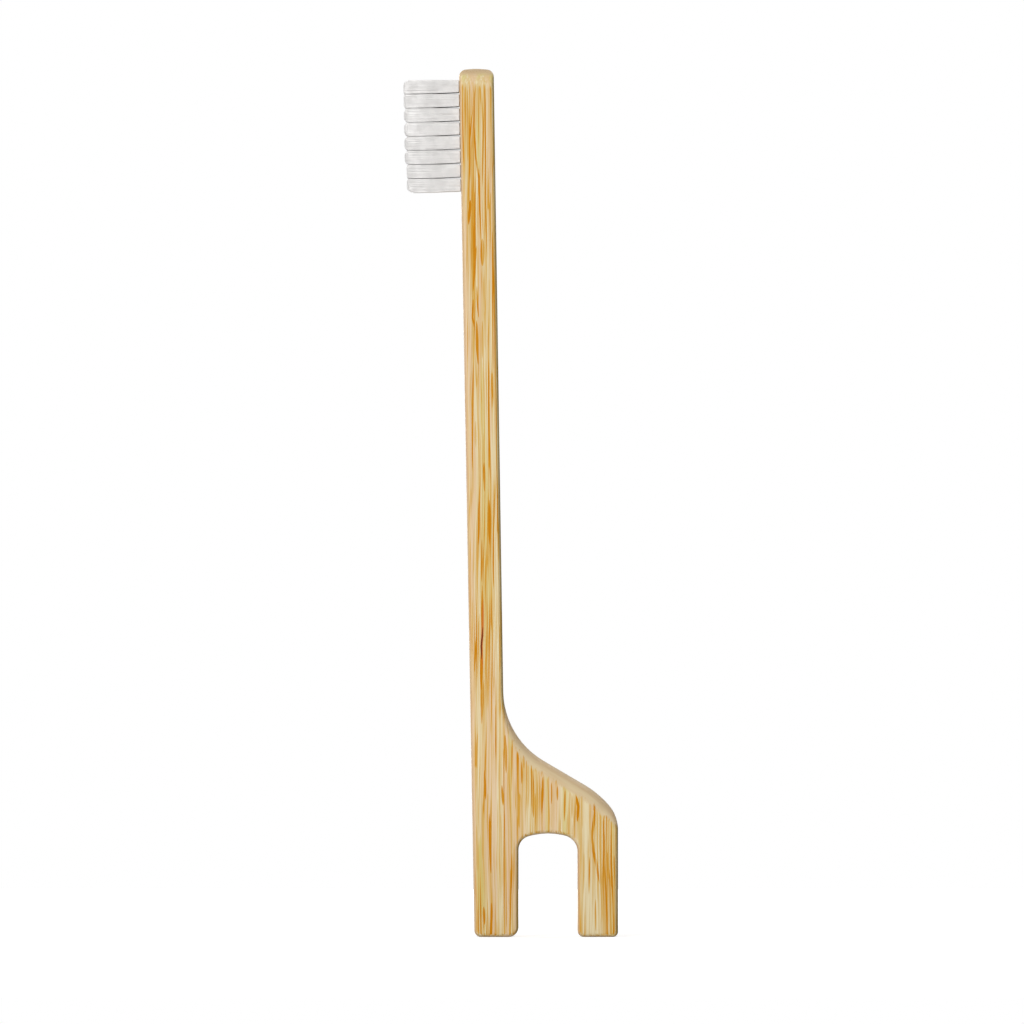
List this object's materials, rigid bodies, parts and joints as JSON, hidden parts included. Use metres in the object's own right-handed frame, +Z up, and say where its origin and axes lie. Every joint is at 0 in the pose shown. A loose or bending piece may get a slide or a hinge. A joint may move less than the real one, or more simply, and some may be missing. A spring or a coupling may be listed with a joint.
{
  "type": "baby toothbrush",
  "caption": "Small bamboo toothbrush for a baby, cut from a flat board as a long-necked animal standing on its legs, with pale bristles on its head.",
  "frame": {"origin": "on the surface that the feet stand on, at the centre of the whole brush's bounding box", "axes": "+Z up along the neck, -X towards the bristles, Y across the thickness of the board"},
  "size_m": [0.0322, 0.01, 0.13],
  "materials": {
    "bamboo": "sanded bamboo, unvarnished, with fine grain along the neck",
    "bristle": "soft pale nylon filaments",
    "anchor_metal": "plain rolled strip"
  },
  "bodies": {
    "root": {"handle": "bamboo", "tuft_anchors": "anchor_metal", "tuft_row1_col1": "bristle", "tuft_row1_col2": "bristle", "tuft_row1_col3": "bristle", "tuft_row1_col4": "bristle", "tuft_row2_col1": "bristle", "tuft_row2_col2": "bristle", "tuft_row2_col3": "bristle", "tuft_row2_col4": "bristle", "tuft_row3_col1": "bristle", "tuft_row3_col2": "bristle", "tuft_row3_col3": "bristle", "tuft_row3_col4": "bristle", "tuft_row4_col1": "bristle", "tuft_row4_col2": "bristle", "tuft_row4_col3": "bristle", "tuft_row4_col4": "bristle", "tuft_row5_col1": "bristle", "tuft_row5_col2": "bristle", "tuft_row5_col3": "bristle", "tuft_row5_col4": "bristle", "tuft_row6_col1": "bristle", "tuft_row6_col2": "bristle", "tuft_row6_col3": "bristle", "tuft_row6_col4": "bristle", "tuft_row7_col1": "bristle", "tuft_row7_col2": "bristle", "tuft_row7_col3": "bristle", "tuft_row7_col4": "bristle", "tuft_row8_col1": "bristle", "tuft_row8_col2": "bristle", "tuft_row8_col3": "bristle", "tuft_row8_col4": "bristle"}
  },
  "joints": []
}
